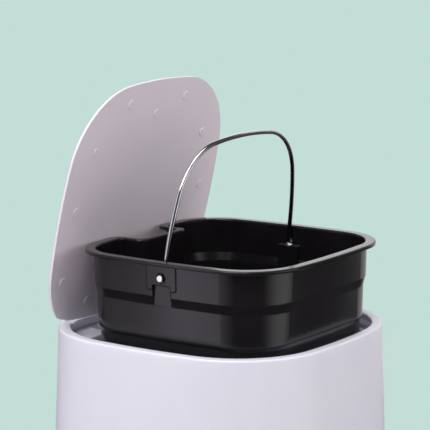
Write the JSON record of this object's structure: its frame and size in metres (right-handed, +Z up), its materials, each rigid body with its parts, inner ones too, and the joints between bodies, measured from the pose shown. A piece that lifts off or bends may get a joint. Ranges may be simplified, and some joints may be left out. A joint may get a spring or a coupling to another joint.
{
  "type": "pedal trash can",
  "caption": "Rounded-square pedal bin with its flat lid open and its wire-handled bucket lifted part way out; a pedal works a push rod that raises the lid.",
  "frame": {"origin": "on the floor under the middle of the can, on the non-slip pad's lower face", "axes": "+Z up, +Y towards the lid's hinge, -Y towards the pedal, X across"},
  "size_m": [0.2428, 0.2864, 0.4747],
  "materials": {
    "white_plastic": "satin white moulding with a faint cool tint",
    "grey_plastic": "matte light grey moulding",
    "black_plastic": "glossy black",
    "bright_wire": "bright",
    "steel": "zinc plated",
    "nylon": "natural nylon",
    "rubber": "matte"
  },
  "bodies": {
    "can": {"outer_body": "white_plastic", "seat_ring": "white_plastic", "ring_screws": "steel", "base_plate": "grey_plastic", "floor_pad": "rubber", "base_screws": "steel", "mechanism_cover": "white_plastic", "cover_screws": "steel", "rod_guides": "nylon", "hinge_bracket": "steel", "bracket_screws": "steel", "hinge_pin": "steel", "pedal_pin": "steel", "pin_clips": "steel"},
    "lid": {"lid": "white_plastic", "lid_bracket": "grey_plastic", "hinge_bushes": "nylon", "lid_screws": "steel"},
    "bucket": {"bucket": "black_plastic"},
    "bail": {"bail_handle": "bright_wire"},
    "pedal": {"pedal_lever": "steel", "pedal_tread": "grey_plastic", "tread_rivets": "steel", "tread_pad": "rubber"},
    "push_rod": {"push_rod": "steel", "rod_head": "nylon", "rod_foot": "nylon"}
  },
  "joints": [
    {"name": "lid_hinge", "type": "hinge", "parent": "can", "child": "lid", "pos_m": [0, 0.0921, 0.2831], "axis": [-1, 0, 0], "range_deg": [0, 7.4]},
    {"name": "bucket_lift", "type": "slide", "parent": "can", "child": "bucket", "axis": [0, -0.0757, 0.9971], "range_m": [-0.0726, 0]},
    {"name": "bail_hinge", "type": "hinge", "parent": "bucket", "child": "bail", "pos_m": [0, -0.007, 0.3405], "axis": [1, 0, 0], "range_deg": [-52, 71]},
    {"name": "pedal_hinge", "type": "hinge", "parent": "can", "child": "pedal", "pos_m": [0, -0.02, 0.03], "axis": [1, 0, 0], "range_deg": [0, 8]},
    {"name": "rod_slide", "type": "slide", "parent": "can", "child": "push_rod", "axis": [0, 0, 1], "range_m": [0, 0.0145]}
  ],
  "couplings": [
    {"joint": "rod_slide", "follows": "pedal_hinge", "m_per_rad": 0.10317}
  ]
}
